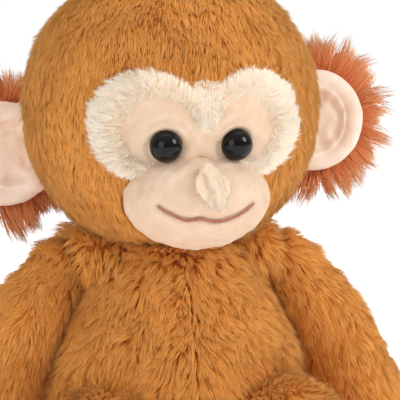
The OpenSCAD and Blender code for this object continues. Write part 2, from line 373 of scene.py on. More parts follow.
def border(rows, cols):
    """Indices round the edge of a grid of rows x cols points, in order."""
    loop = list(range(cols)) + [r * cols + cols - 1 for r in range(1, rows)]
    loop += [(rows - 1) * cols + i for i in range(cols - 2, -1, -1)]
    return loop + [r * cols for r in range(rows - 2, 0, -1)]


def rim_faces(loop, total):
    """Faces that close a slab along a loop of its first grid, which holds total points."""
    return [[loop[k], loop[k - 1], loop[k - 1] + total, loop[k] + total] for k in range(len(loop))]


def facing_out(ob):
    """Turns all faces outward."""
    bm = bmesh.new()
    bm.from_mesh(ob.data)
    bmesh.ops.recalc_face_normals(bm, faces=bm.faces)
    bm.to_mesh(ob.data)
    bm.free()
    return ob


def applied(ob):
    graph = bpy.context.evaluated_depsgraph_get()
    me = bpy.data.meshes.new_from_object(ob.evaluated_get(graph))
    ob.modifiers.clear()
    old, ob.data = ob.data, me
    bpy.data.meshes.remove(old)
    me.name = ob.name
    return ob


def points(ob):
    co = np.zeros(len(ob.data.vertices) * 3, np.float32)
    ob.data.vertices.foreach_get("co", co)
    return co.reshape(-1, 3).astype(float) / MM


def normals(ob):
    n = np.zeros(len(ob.data.vertices) * 3, np.float32)
    ob.data.vertex_normals.foreach_get("vector", n)
    return n.reshape(-1, 3).astype(float)


def set_points(ob, co):
    ob.data.vertices.foreach_set("co", (np.asarray(co) * MM).astype(np.float32).ravel())
    ob.data.update()
    return ob


def remeshed(ob, voxel, smooth=4):
    mod = ob.modifiers.new("remesh", "REMESH")
    mod.mode, mod.voxel_size = "VOXEL", voxel * MM
    mod = ob.modifiers.new("smooth", "SMOOTH")
    mod.factor, mod.iterations = 0.5, smooth
    return applied(ob)


def subdivided(ob):
    mod = ob.modifiers.new("subdivide", "SUBSURF")
    mod.levels = mod.render_levels = 1
    return applied(ob)


def stuff(jobs, frames=20):
    """Fills sewn skins by cloth simulation; each job is (object, pressure, cap in mm, pin weights)."""
    rest = {}
    for ob, pressure, cap, pins in jobs:
        rest[ob.name] = points(ob)
        group = ob.vertex_groups.new(name="sewn")
        for i in np.nonzero(pins > 0.01)[0]:
            group.add([int(i)], float(pins[i]), "REPLACE")
        mod = ob.modifiers.new("cloth", "CLOTH")
        cloth = mod.settings
        cloth.quality, cloth.mass, cloth.air_damping = 6, 0.05, 0.5
        cloth.tension_stiffness = cloth.compression_stiffness = 1
        cloth.shear_stiffness, cloth.bending_stiffness = 0.3, 0.02
        cloth.use_pressure, cloth.uniform_pressure_force = True, pressure
        cloth.effector_weights.gravity = 0
        cloth.vertex_group_mass, cloth.pin_stiffness = "sewn", 1.0
        mod.collision_settings.use_collision = False
        mod.point_cache.frame_start, mod.point_cache.frame_end = 1, frames
    for f in range(1, frames + 1):
        scene.frame_set(f)
    graph = bpy.context.evaluated_depsgraph_get()
    for ob, _, cap, _ in jobs:
        me = ob.evaluated_get(graph).to_mesh()
        co = np.zeros(len(me.vertices) * 3, np.float32)
        me.vertices.foreach_get("co", co)
        move = co.reshape(-1, 3).astype(float) / MM - rest[ob.name]
        far = np.linalg.norm(move, axis=1, keepdims=True)
        move *= np.minimum(1, cap / np.maximum(far, 1e-9))
        print(f"stuffed {ob.name}: {len(move)} points moved up to {far.max():.2f} mm")
        ob.evaluated_get(graph).to_mesh_clear()
        ob.modifiers.clear()
        ob.vertex_groups.clear()
        set_points(ob, rest[ob.name] + move)
    scene.frame_set(1)


def finished(ob, body, nodes, material, smooth=True):
    ob.data.materials.clear()
    ob.data.materials.append(material)
    if smooth:
        ob.data.shade_smooth()
    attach(ob, body)
    if nodes:
        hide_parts(*nodes)
    return ob


# ---------------------------------------------------------------- pile
def scattered(ob, per_mm2, draw):
    """Points and normals spread evenly over a mesh."""
    me = ob.data
    me.calc_loop_triangles()
    tri = np.zeros(len(me.loop_triangles) * 3, np.int32)
    me.loop_triangles.foreach_get("vertices", tri)
    tri = tri.reshape(-1, 3)
    co, nor = points(ob), normals(ob)
    a, b, c = co[tri[:, 0]], co[tri[:, 1]], co[tri[:, 2]]
    area = np.linalg.norm(np.cross(b - a, c - a), axis=1) / 2
    n = int(area.sum() * per_mm2)
    pick = np.sort(draw.choice(len(tri), n, p=area / area.sum()))
    u, v = draw.random((2, n))
    over = u + v > 1
    u[over], v[over] = 1 - u[over], 1 - v[over]
    w = np.stack([1 - u - v, u, v], 1)[:, :, None]
    return (co[tri[pick]] * w).sum(1), unit((nor[tri[pick]] * w).sum(1))


def nearest(p, centres):
    out = np.zeros(len(p), int)
    c = centres.astype(np.float32)
    c2 = (c * c).sum(1)
    for i in range(0, len(p), 4000):
        q = p[i:i + 4000].astype(np.float32)
        out[i:i + 4000] = np.argmin(c2[None] - 2 * q @ c.T, 1)
    return out


def pile(name, base, body, nodes, material, per_mm2, length, comb, keep=None, lift=(0.75, 0.35),
         clump=12, gather=0.5, width=0.27, stray=0.22, rings=2, seed=1, tidy=None, raised=None, sheer=False,
         rough=0.7, roundness=0.55, facing=None):
    """Grows closed, tapering strands on a skin. comb(p, n) gives the way that they lie, length their
    length in mm or a function of place, and lift how far they stand up at the root and the tip, with
    more of it where raised(p) says. A rough pile wanders more, light passes through sheer pile, and
    facing(p, n) is the way that its surface looks. Pieces with seeds near the same hundred share
    their waves, so that they meet without a seam."""
    draw = np.random.default_rng(seed)
    flow = 100 * round(seed / 100)
    p, n = scattered(base, per_mm2, draw)
    if keep is not None:
        ok = keep(p, n)
        ok = draw.random(len(p)) < ok if ok.dtype != bool else ok
        p, n = p[ok], n[ok]
    count = len(p)
    long = length(p) if callable(length) else np.full(count, float(length))
    centres = draw.choice(count, max(2, count // clump), replace=False)
    mine = centres[nearest(p, p[centres])]

    def lying(i, wild):
        way = comb(p[i], n[i])
        way = way - n[i] * (way * n[i]).sum(1, keepdims=True)
        return unit(unit(way) + wild)

    wild = 0.4 * rough * waves(p, 26, flow + 5) + stray * 0.9 * draw.normal(size=(count, 3))
    way = lying(np.arange(count), wild)
    clump_wild = (
        0.4 * rough * waves(p[centres], 26, flow + 5) + 0.34 * rough * draw.normal(size=(len(centres), 3))
    )
    clump_way = np.zeros((count, 3))
    clump_way[centres] = lying(centres, clump_wild)
    clump_long = np.ones(count)
    clump_long[centres] = draw.uniform(0.82, 1.12, len(centres))
    clump_lift = np.zeros(count)
    clump_lift[centres] = rough * draw.uniform(-0.12, 0.2, len(centres))
    long = long * clump_long[mine] * draw.uniform(0.8, 1.1, count)
    if raised is not None:
        clump_lift += raised(p)

    def line(i, ways, lengths, extra):
        root_up = np.clip(lift[0] + extra, 0.05, 1)[:, None]
        tip_up = np.clip(lift[1] + extra, 0.0, 1)[:, None]
        d0 = unit(n[i] * root_up + ways * (1 - root_up))
        d1 = unit(n[i] * tip_up + ways * (1 - tip_up))
        mid = p[i] + d0 * lengths[:, None] * 0.5
        return d0, mid, mid + d1 * lengths[:, None] * 0.5

    d0, mid, tip = line(np.arange(count), way, long, clump_lift[mine])
    _, clump_mid, clump_tip = line(mine, clump_way[mine], long, clump_lift[mine])
    pull = gather * draw.uniform(0.6, 1.2, count)[:, None]
    tip = tip + (clump_tip - tip) * np.clip(pull, 0, 0.95)
    mid = mid + (clump_mid - mid) * np.clip(pull * 0.5, 0, 0.6)
    if tidy is not None:
        mid, tip = tidy(mid), tidy(tip)
    side = unit(np.cross(n, d0)) + 0.3 * draw.normal(size=(count, 3))  # a flat flank faces outward
    side = unit(side - d0 * (side * d0).sum(1, keepdims=True))
    other = np.cross(d0, side)
    root = p - n * 0.5
    thick = width * draw.uniform(0.75, 1.25, count)[:, None]
    shade = 0.5 + 0.22 * waves(p, 34, flow + 9)[:, 0] + draw.normal(0, 0.16, count)
    clump_shade = np.zeros(count)
    clump_shade[centres] = draw.normal(0, 0.14, len(centres))
    shade = np.clip(shade + clump_shade[mine], 0.02, 0.98)

    verts = np.zeros((count, 3 * rings + 1, 3))
    soft = np.zeros_like(verts)
    outward = unit((n if facing is None else facing(p, n)) + 0.35 * way)
    spots = np.linspace(0, 1, rings + 1)
    for k in range(rings):
        t = spots[k]
        centre = root * (1 - t) ** 2 + 2 * (2 * mid - (root + tip) / 2) * t * (1 - t) + tip * t * t
        size = thick * (1 - 0.75 * t ** 1.5)
        for c in range(3):
            a = 2 * math.pi * c / 3 + math.pi / 6
            radial = math.cos(a) * side + math.sin(a) * other
            verts[:, 3 * k + c] = centre + size * radial
            soft[:, 3 * k + c] = unit(outward + roundness * radial)
    verts[:, -1], soft[:, -1] = tip, outward
    quads = [[3 * k + c, 3 * k + (c + 1) % 3, 3 * k + 3 + (c + 1) % 3, 3 * k + 3 + c]
             for k in range(rings - 1) for c in range(3)]
    k = 3 * (rings - 1)
    tris = [[k + c, k + (c + 1) % 3, 3 * rings] for c in range(3)] + [[2, 1, 0]]
    loops = [i for f in quads + tris for i in f]
    sizes = [4] * len(quads) + [3] * len(tris)
    stride = 3 * rings + 1
    all_loops = (np.array(loops)[None] + np.arange(count)[:, None] * stride).ravel()
    starts = np.concatenate([[0], np.cumsum(sizes)[:-1]])
    all_starts = (starts[None] + np.arange(count)[:, None] * len(loops)).ravel()
    me = bpy.data.meshes.new(name)
    me.vertices.add(count * stride)
    me.loops.add(len(all_loops))
    me.polygons.add(len(all_starts))
    me.vertices.foreach_set("co", (verts * MM).astype(np.float32).ravel())
    me.loops.foreach_set("vertex_index", all_loops.astype(np.int32))
    me.polygons.foreach_set("loop_start", all_starts.astype(np.int32))
    me.update(calc_edges=True)
    v_of = np.array([spots[min(i // 3, rings)] if i < 3 * rings else 1.0 for i in loops])
    u_of = np.array([(i % 3 - 1) * 0.004 if i < 3 * rings else 0.0 for i in loops])
    uv = np.zeros((count, len(loops), 2), np.float32)
    uv[:, :, 0] = shade[:, None] + u_of[None]
    uv[:, :, 1] = 0.01 + 0.98 * v_of[None]
    me.uv_layers.new(name="OFBake").data.foreach_set("uv", uv.ravel())
    me.shade_smooth()
    me.normals_split_custom_set_from_vertices(soft.reshape(-1, 3).astype(np.float32))
    ob = bpy.data.objects.new(name, me)
    scene.collection.objects.link(ob)
    finished(ob, body, nodes, material, smooth=False)
    ob.visible_shadow = not sheer
    print(f"pile {name}: {count} strands, {count * (6 * (rings - 1) + 4)} triangles")
    return ob


# ---------------------------------------------------------------- the head's measures, in its own frame
FUR_DEPTH = 3.0
HEAD_R = (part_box("head_cover")[1].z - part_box("head_cover")[0].z) / MM / 2
SKIN_R = HEAD_R - FUR_DEPTH
MASK_LOBE, MASK_LOBE_R = np.array([25.0, 2.0]), 30.0
FIELD_LOBE, FIELD_LOBE_R = np.array([18.0, -4.0]), 20.0
PATCH_R = HEAD_R - 1.5
EYE_YAW, EYE_PITCH = 14.0, -9.2
EYE_X, EYE_Z = 16.9, -11.4
FIELD_Z = -6  # the height, from the head's pivot, that the face's outlines are drawn about
EAR_SPREAD, EAR_BACK = 2.4, np.array([0, 8.0, 0])  # past the CAD's ear, and its back panel's offset
KNEE_RISE = {1: 11, -1: 7}  # the knees that show at the photograph's lower edge
ARM_GAP, LEG_GAP = 3.6, 3.0
MUZZLE = np.array([0.0, -58.0, -39.5])
MUZZLE_SIZE = np.array([37.0, 25.0, 25.0])


def lobe_gap(x, z, lobe, radius):
    """Distance outside the two lobes, negative inside."""
    return np.hypot(np.abs(x) - lobe[0], z - lobe[1]) - radius


def reach(phi, lobe, radius, centre_z):
    """Distance from (0, centre_z) to the outline of two lobes, in a direction."""
    best = np.zeros_like(phi)
    for s in (-1, 1):
        dx, dz = s * lobe[0], lobe[1] - centre_z
        b = np.cos(phi) * dx + np.sin(phi) * dz
        best = np.maximum(best, b + np.sqrt(np.maximum(b * b - dx * dx - dz * dz + radius ** 2, 0)))
    return best


def on_sphere(x, z, radius):
    return np.stack([x, -np.sqrt(np.maximum(radius ** 2 - x * x - z * z, 1)), z], -1)


def muzzle_gap(p):
    """How far outside the muzzle a point of the head's frame is, as a share of its size."""
    return np.linalg.norm((p - MUZZLE) / MUZZLE_SIZE, axis=1) - 1


# ---------------------------------------------------------------- head skin
head_skin = build("head_skin", *ball((0, 0, 0), [SKIN_R - 0.8] * 3, 5))
p = points(head_skin)
head_pins = np.maximum.reduce([
    np.exp(-(p[:, 0] / 2.5) ** 2) * (p[:, 2] > 0),
    np.exp(-((p[:, 1] - 6) / 3.0) ** 2),
    (p[:, 2] < -60).astype(float),
    (lobe_gap(p[:, 0], p[:, 2], MASK_LOBE, MASK_LOBE_R) < 2) * (p[:, 1] < 0).astype(float),
])
set_points(head_skin, p + HEAD)

# ---------------------------------------------------------------- muzzle
shape, faces = ball((0, 0, 0), (1, 1, 1), 5)
box_like = unit(shape) * (1 / (np.abs(unit(shape)) ** 2.5).sum(1, keepdims=True) ** (1 / 2.5)) ** 0.35
low = np.clip(-box_like[:, 2], 0, 1)
box_like[:, 0] *= 1 - 0.34 * low ** 2
box_like[:, 2] *= np.where(box_like[:, 2] < 0, 0.89, 1.11)
box_like[:, 1] *= 1 - 0.16 * smoothstep(box_like[:, 2], 0.1, 0.8)
muzzle = build("muzzle", MUZZLE + box_like * (MUZZLE_SIZE - np.array([1.8, 2.0, 1.6])), faces)
p = points(muzzle)
r = np.linalg.norm(p, axis=1)
p = np.where((r < HEAD_R - 3)[:, None], p * ((HEAD_R - 3) / r)[:, None], p)
set_points(muzzle, p)
remeshed(muzzle, 1.9, 3)


def mouth_z(x):
    """Height of the smile on the muzzle, in the head's frame."""
    t = np.abs(x - 0.3) / 22.5
    return MUZZLE[2] - 6.5 + 7.3 * t ** 2.3 + 1.9 * np.exp(-((x + 3.0) / 4.2) ** 2)


p = points(muzzle)
r = np.linalg.norm(p, axis=1)
mouth_near = np.abs(p[:, 2] - mouth_z(p[:, 0]))
mouth_pin = np.exp(-(mouth_near / 1.6) ** 2) * smoothstep(-np.abs(p[:, 0] - 0.3), -25, -19) * (p[:, 1] < -66)
muzzle_pins = np.clip(np.maximum(mouth_pin, (r < HEAD_R + 0.5).astype(float)), 0, 1)
set_points(muzzle, p + HEAD)

# ---------------------------------------------------------------- ears
EAR_R, EAR_RIM = 27.0, 5.6
ears, fringes = {}, {}
for side, word in SIDES.items():
    lo, hi = (np.array(v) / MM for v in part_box(f"ear_lining_{word}"))
    out = np.abs([lo[0], hi[0]]).max() + EAR_SPREAD - EAR_R
    centre = np.array([side * out, (lo[1] + hi[1]) / 2, (lo[2] + hi[2]) / 2])
    rim = [(EAR_R - EAR_RIM + EAR_RIM * math.cos(a), EAR_RIM * math.sin(a))
           for a in np.linspace(-1.9, 2.6, 16)]
    profile = [(0, -5.0), (6, -5.0), (13, -5.0)] + rim + [(14.2, -0.4), (12.5, -1.9), (8, -2.6), (0, -2.8)]
    co, faces = revolve(profile, 96)
    ear = build(f"ear_lining_soft_{word}", co @ rot("x", 90).T + centre, faces)
    ears[side] = (ear, centre)
    thin = [(0, -2.0), (15, -2.2), (26, -1.8), (29, -0.4), (29, 0.4), (26, 1.8), (15, 2.2), (0, 2.0)]
    co, faces = revolve(thin, 72)
    back = build(f"ear_back_{word}", co @ rot("x", 90).T + centre + EAR_BACK, faces)
    fringes[side] = (back, centre + EAR_BACK)


def outside_head(ob, radius):
    """Flattens what lies inside a sphere about the head's centre against it."""
    q = points(ob) - HEAD
    d = np.linalg.norm(q, axis=1, keepdims=True)
    return set_points(ob, np.where(d < radius, q * radius / np.maximum(d, 1e-6), q) + HEAD)


ear_pins = {}
for side, (ear, centre) in ears.items():
    remeshed(ear, 1.8, 4)
    outside_head(ear, SKIN_R + 4)
    q = points(ear) - centre
    ring = np.hypot(q[:, 0], q[:, 2])
    near_head = np.linalg.norm(points(ear) - HEAD, axis=1) < SKIN_R + 6.5
    groove = np.exp(-((ring - 14.0) / 1.6) ** 2) * (q[:, 1] < 2.5)
    ear_pins[side] = np.clip(np.maximum(groove, near_head.astype(float)), 0, 1)
for side, (back, centre) in fringes.items():
    remeshed(back, 1.8, 3)
    outside_head(back, SKIN_R + 4)

# ---------------------------------------------------------------- torso
BELLY_Z, CHEST_Z = 42.0, 118.0
SEAT_R, BELLY_R, CHEST_R, NECK_R = 42.0, 66.0, 38.0, 31.0


def body_r(z):
    z = np.asarray(z, float)
    low = SEAT_R + (BELLY_R - SEAT_R) * np.sin(np.clip(90 * z / BELLY_Z, 0, 90) * math.pi / 180) ** 0.8
    up = np.clip(90 * (z - BELLY_Z) / (CHEST_Z - BELLY_Z), 0, 90) * math.pi / 180
    high = CHEST_R + (BELLY_R - CHEST_R) * np.maximum(np.cos(up), 0) ** 1.2
    return np.where(z < BELLY_Z, low, high)


shoulders = {s: pivot[f"arm_swing_{w}"] for s, w in SIDES.items()}
hips = {s: pivot[f"leg_splay_{w}"] for s, w in SIDES.items()}
ARM_R, WRIST_R, ARM_LEN = 20.5, 16.5, 94.0
LEG_R, ANKLE_R, LEG_LEN = 28.5, 21.0, 74.0
arm_frame = {s: rot("y", -s * 27.6) @ rot("x", -8) for s in SIDES}
leg_frame = {s: rot("z", s * 12) @ rot("x", -85) for s in SIDES}

inset = FUR_DEPTH
profile = [(0, 2.5), (20, 2.5), (34, 2.8)]
profile += [(float(body_r(z)) - inset, z) for z in np.linspace(4, CHEST_Z, 26)]
profile += [(NECK_R - 1, CHEST_Z + 4), (NECK_R - 3, CHEST_Z + 9), (0, CHEST_Z + 11)]
yoke = [ball((s * 41, -1, 119), (19, 19, 14), 4) for s in SIDES]
torso_skin = build("torso_skin", *together(revolve(profile, 96), *yoke))


def leg_depth(q, side, radius):
    """How deep a point lies inside a thigh, and where it stands along and across the leg."""
    local = (q - hips[side]) @ leg_frame[side]
    along, across = -local[:, 2], local[:, :2]
    return radius - np.where(along > 0, np.linalg.norm(across, axis=1), np.linalg.norm(local, axis=1)), local


p = points(torso_skin)
for side in SIDES:
    depth, local = leg_depth(p, side, LEG_R - LEG_GAP)
    inside = depth > 0
    across = np.linalg.norm(local[:, :2], axis=1)
    back = np.sqrt(np.maximum((LEG_R - LEG_GAP) ** 2 - across ** 2, 0))
    local[inside, 2] = back[inside]
    p[inside] = local[inside] @ leg_frame[side].T + hips[side]
    d = p - shoulders[side]
    far = np.linalg.norm(d, axis=1, keepdims=True)
    pushed = shoulders[side] + d / np.maximum(far, 1e-6) * (ARM_R - ARM_GAP)
    p = np.where(far < ARM_R - ARM_GAP, pushed, p)
set_points(torso_skin, p)
outside_head(torso_skin, SKIN_R + 1.0)
remeshed(torso_skin, 3.4, 5)
outside_head(torso_skin, SKIN_R + 0.8)
p = points(torso_skin)
front_seam = np.exp(-(p[:, 0] / 2.4) ** 2) * (p[:, 1] < 0)
back_seam = np.exp(-(p[:, 0] / 2.4) ** 2) * (p[:, 1] > 0)
floor_seam = (p[:, 2] < 5).astype(float)
head_seam = (np.linalg.norm(p - HEAD, axis=1) < SKIN_R + 2.5).astype(float)
limb_seam = np.zeros(len(p))
for side in SIDES:
    limb_seam = np.maximum(limb_seam, (leg_depth(p, side, LEG_R - 1)[0] > 0).astype(float))
    limb_seam = np.maximum(limb_seam, (np.linalg.norm(p - shoulders[side], axis=1) < ARM_R - 1).astype(float))
torso_pins = np.clip(np.maximum.reduce([front_seam, back_seam, floor_seam, head_seam, limb_seam]), 0, 1)


# ---------------------------------------------------------------- limbs
def limb(name, top_r, end_r, length, frame3, origin, rows=24, belly=0.8):
    """A sleeve with a round top and a gathered end, along -Z of its own frame."""
    cap = [(top_r * math.cos(a), top_r * math.sin(a)) for a in np.linspace(math.pi / 2, 0, 10)]
    wall = [(top_r + (end_r - top_r) * t + belly * math.sin(math.pi * t ** 0.75), -length * t)
            for t in np.linspace(0, 1, rows)[1:]]
    prof = cap + wall + [(end_r * 0.6, -length - 0.8), (0, -length - 0.5)]
    co, faces = revolve(prof[::-1], 64)
    return build(name, co @ frame3.T + origin, faces)


arms, hands, legs, feet = {}, {}, {}, {}
for side, word in SIDES.items():
    arms[side] = limb(
        f"arm_skin_{word}", ARM_R - inset - 3.5, WRIST_R - 2.5, ARM_LEN,
        arm_frame[side], shoulders[side], belly=2.6
    )
    q = (points(arms[side]) - shoulders[side]) @ arm_frame[side]
    q[:, 0] *= np.where(q[:, 0] * side > 0, 0.5 + 0.55 * smoothstep(-q[:, 2], -6, 50), 1.0)
    q[:, 1] *= np.where(q[:, 1] > 0, 0.45 + 0.55 * smoothstep(-q[:, 2], -10, 50), 1.0)
    q[:, 2] *= np.where(q[:, 2] > 0, 0.7, 1.0)
    set_points(arms[side], q @ arm_frame[side].T + shoulders[side])
    wrist = np.array([0, 0, -ARM_LEN - 0.6])
    palm = ball(wrist + np.array([0, 0, -14]), (15.2, 14.2, 23.5), 4)
    thumb = ball(wrist + np.array([-side * 11, -9, -15]), (6.2, 6.4, 8.5), 3)
    co, faces = together(palm, thumb)
    co[:, 2] = np.minimum(co[:, 2], wrist[2])
    hands[side] = remeshed(
        build(f"hand_soft_{word}", co @ arm_frame[side].T + shoulders[side], faces), 1.9, 6
    )
    legs[side] = limb(f"leg_skin_{word}", LEG_R - inset, ANKLE_R - 2.5, LEG_LEN, leg_frame[side], hips[side])
    p = points(legs[side])
    along = -((p - hips[side]) @ leg_frame[side])[:, 2] / LEG_LEN
    knee = np.sin(math.pi * np.clip(along, 0, 1)) * smoothstep(p[:, 2], 10, 55)
    p[:, 2] += KNEE_RISE[side] * knee
    set_points(legs[side], p)
    ankle = np.array([0, 0, -LEG_LEN - 0.6])
    sole = ball(ankle + np.array([0, -5.5, -8]), (16.4, 27.0, 16.6), 4)
    toe = ball(ankle + np.array([-side * 12, -22, -12]), (7.6, 7.8, 7.6), 3)
    co, faces = together(sole, toe)
    co[:, 2] = np.minimum(co[:, 2], ankle[2])
    feet[side] = remeshed(build(f"foot_soft_{word}", co @ leg_frame[side].T + hips[side], faces), 2.0, 6)

# ---------------------------------------------------------------- tail
TAIL_ROOT = pivot["tail_wag"]
TAIL_R, BEND_R = 9.5, 38.0
bend_centre = TAIL_ROOT + np.array([BEND_R, 0, 0])
path_angle = np.radians(np.linspace(180, 30, 40))
rings, turn = [], np.linspace(0, 2 * math.pi, 28, endpoint=False)
tail_radius = TAIL_R - 3.4


def tail_ring(centre, outward, radius):
    up = np.array([0, 0, 1.0])
    return [centre + radius * (math.cos(t) * outward + math.sin(t) * up) for t in turn]


for k, a in enumerate(path_angle):
    outward = np.array([math.cos(a), math.sin(a), 0])
    rings.append(tail_ring(bend_centre + BEND_R * outward, outward, tail_radius * (1 - 0.12 * k / 39)))
ends = []
for a, sign in ((path_angle[0], 1), (path_angle[-1], -1)):
    outward = np.array([math.cos(a), math.sin(a), 0])
    ahead = sign * np.array([-math.sin(a), math.cos(a), 0])
    size = tail_radius * (1 if sign > 0 else 0.88)
    ends.append([tail_ring(bend_centre + BEND_R * outward + ahead * size * math.sin(t), outward,
                           size * math.cos(t))
                 for t in np.radians([25, 50, 72])])
    ends.append(bend_centre + BEND_R * outward + ahead * size)
rings = ends[0][::-1] + rings + ends[2]
co = np.vstack([np.array(rings).reshape(-1, 3), ends[1], ends[3]])
m, total = len(turn), len(rings) * len(turn)
faces = [[k * m + i, k * m + (i + 1) % m, (k + 1) * m + (i + 1) % m, (k + 1) * m + i]
         for k in range(len(rings) - 1) for i in range(m)]
faces += [[total, (i + 1) % m, i] for i in range(m)]
faces += [[total + 1, total - m + i, total - m + (i + 1) % m] for i in range(m)]
tail_skin = facing_out(build("tail_skin", co, faces))


# ---------------------------------------------------------------- stuffing by cloth simulation
def limb_pins(ob, origin, frame3, length, seam_x):
    q = (points(ob) - origin) @ frame3
    end = smoothstep(-q[:, 2], length - 4, length)
    top = smoothstep(q[:, 2], 2, 8)
    seam = np.exp(-(q[:, 0] / 2.2) ** 2) * (q[:, 1] * seam_x > 0)
    return np.clip(np.maximum.reduce([end, top, seam]), 0, 1)


def end_pins(ob, origin, frame3, length):
    q = (points(ob) - origin) @ frame3
    return smoothstep(q[:, 2], -length - 4, -length - 1)


jobs = [
    (head_skin, 300, 1.5, head_pins), (muzzle, 3000, 1.8, muzzle_pins), (torso_skin, 600, 3.5, torso_pins)
]
for side in SIDES:
    jobs.append((ears[side][0], 60, 1.6, ear_pins[side]))
    jobs.append((arms[side], 700, 1.5, limb_pins(arms[side], shoulders[side], arm_frame[side], ARM_LEN, 1)))
    jobs.append((legs[side], 600, 1.5, limb_pins(legs[side], hips[side], leg_frame[side], LEG_LEN, -1)))
    jobs.append((hands[side], 5000, 1.3, end_pins(hands[side], shoulders[side], arm_frame[side], ARM_LEN)))
    jobs.append((feet[side], 3000, 1.3, end_pins(feet[side], hips[side], leg_frame[side], LEG_LEN)))
stuff(jobs)

# ---------------------------------------------------------------- muzzle: seams and creases
subdivided(muzzle)
p, n = points(muzzle) - HEAD, normals(muzzle)
near = np.abs(p[:, 2] - mouth_z(p[:, 0])) * 0.94
on_mouth = smoothstep(-np.abs(p[:, 0] - 0.3), -25.5, -20.5) * (p[:, 1] < -62)
dent = -1.0 * np.exp(-(near / 0.9) ** 2) * on_mouth - 0.5 * np.exp(-(near / 3.0) ** 2) * on_mouth
for s in (-1, 1):  # a dimple at each end of the smile
    end = np.array([s * 23.2 + 0.3, 0, float(mouth_z(np.array([s * 23.2 + 0.3]))[0])])
    d = np.hypot(p[:, 0] - end[0], p[:, 2] - end[2])
    dent += -1.0 * np.exp(-(d / 2.4) ** 2) * (p[:, 1] < -60)
dent += 0.2 * waves(p, 8, 31)[:, 0] + 0.35 * waves(p, 24, 32)[:, 0]
set_points(muzzle, p + n * dent[:, None] + HEAD)
finished(muzzle, "head", ["muzzle_cover"], VELOUR)


muzzle_points, muzzle_normals = points(muzzle) - HEAD, normals(muzzle)
outer = np.linalg.norm(muzzle_points, axis=1) > HEAD_R - 1
muzzle_points, muzzle_normals = muzzle_points[outer], muzzle_normals[outer]


def muzzle_front(x, z, lift=0.0, reach=1.2):
    """A point of the muzzle's front, and its normal, found on the finished mesh."""
    d = (muzzle_points[:, 0] - x) ** 2 + (muzzle_points[:, 2] - z) ** 2
    w = np.exp(-np.maximum(d - d.min(), 0) / reach) + 1e-12
    w /= w.sum()
    n = unit((muzzle_normals * w[:, None]).sum(0))
    return np.array([x, (muzzle_points[:, 1] * w).sum(), z]) + n * lift, n


# ---------------------------------------------------------------- mouth: a row of thread stitches
def ring_faces(rings, sides, closed=False):
    """Quads between neighbouring rings of points, and from the last to the first if closed."""
    return [[k * sides + i, k * sides + (i + 1) % sides,
             (k + 1) % rings * sides + (i + 1) % sides, (k + 1) % rings * sides + i]
            for k in range(rings if closed else rings - 1) for i in range(sides)]


def tube(path, radius, sides=8, taper=None):
    path = np.asarray(path, float)
    tangent = unit(np.gradient(path, axis=0))
    side = unit(np.cross(tangent, FORWARD + 0.01))
    other = np.cross(tangent, side)
    co, m = [], len(path)
    for k in range(m):
        r = radius * (1 if taper is None else taper[k])
        co += [path[k] + r * (math.cos(a) * side[k] + math.sin(a) * other[k])
               for a in np.linspace(0, 2 * math.pi, sides, endpoint=False)]
    faces = ring_faces(m, sides)
    faces.append(list(range(sides))[::-1])
    faces.append([(m - 1) * sides + i for i in range(sides)])
    return np.array(co), faces


stitches = []
xs = np.linspace(-22.4, 23.0, 22)
for i in range(len(xs) - 1):
    x0, x1 = xs[i] - 0.35, xs[i + 1] + 0.35
    for strand in (-1, 1):
        line = []
        for t in np.linspace(0, 1, 9):
            x = x0 + (x1 - x0) * t
            z = float(mouth_z(np.array([x]))[0])
            arch = 0.35 + 0.75 * math.sin(math.pi * t) ** 0.6
            centre, n = muzzle_front(x, z, arch)
            turn_by = 2.2 * math.pi * t + (0 if strand > 0 else math.pi)
            up = np.array([0, 0, 1.0]) - n * n[2]
            line.append(centre + 0.3 * (math.cos(turn_by) * n + math.sin(turn_by) * up))
        taper = [0.55, 0.8, 1, 1, 1, 1, 1, 0.8, 0.55]
        stitches.append(tube(line, 0.42, 6, taper))
co, faces = together(*stitches)
mouth = build("mouth_thread", co + HEAD, faces)
finished(mouth, "head", ["mouth_stitching"], THREAD)

# ---------------------------------------------------------------- nose: a pinched, folded diamond
steps = 25
u, v = np.meshgrid(np.linspace(-1, 1, steps), np.linspace(-1, 1, steps))
x, z = (u - v) / 2, (u + v) / 2  # the corners are left, right, top and bottom
round_off = 1 - 0.2 * np.abs(u * v) ** 3
x, z = x * round_off * 9.9, z * round_off * 11.0
nose_x, nose_z = 1.9, MUZZLE[2] + 9.8
ridge = x + 0.22 * z  # the fold runs from the top corner to the bottom one
front, back = [], []
nose_lift = 1.6 + 3.6 * np.exp(-(ridge / 2.6) ** 2) * (1 - 0.45 * np.abs(z / 11.0))
nose_lift += 1.6 * smoothstep(-z, 1, 11) + 1.4 * smoothstep(-x, 2, 8) + 0.9 * smoothstep(x, 4, 9)
for xi, zi, h in zip(x.ravel(), z.ravel(), nose_lift.ravel()):
    centre, n = muzzle_front(nose_x + xi - 0.12 * zi, nose_z + zi, 0, 6.0)
    n = unit(n + 0.8 * FORWARD)
    front.append(centre + n * (h + 0.8))
    back.append(centre + n * (h - 0.6))
co, faces = slab(np.array(front), np.array(back), steps, steps, False)
faces += rim_faces(border(steps, steps), steps * steps)
nose = facing_out(build("nose_flap", co + HEAD, faces))
subdivided(nose)
p, n = points(nose), normals(nose)
set_points(nose, p + n * (0.22 * waves(p, 5, 41)[:, :1]))
finished(nose, "head", ["nose"], NOSE_VELOUR)


pile(
    "nose_nap", nose, "head", ["nose"], CREAM, 9.0, 1.7,
    lambda p, n: n + 1.2 * DOWN + 0.4 * FORWARD,
    seed=150, lift=(0.8, 0.5), clump=7, gather=0.4, width=0.12, stray=0.3, sheer=True,
    keep=lambda p, n: n[:, 1] < 0.2,
)

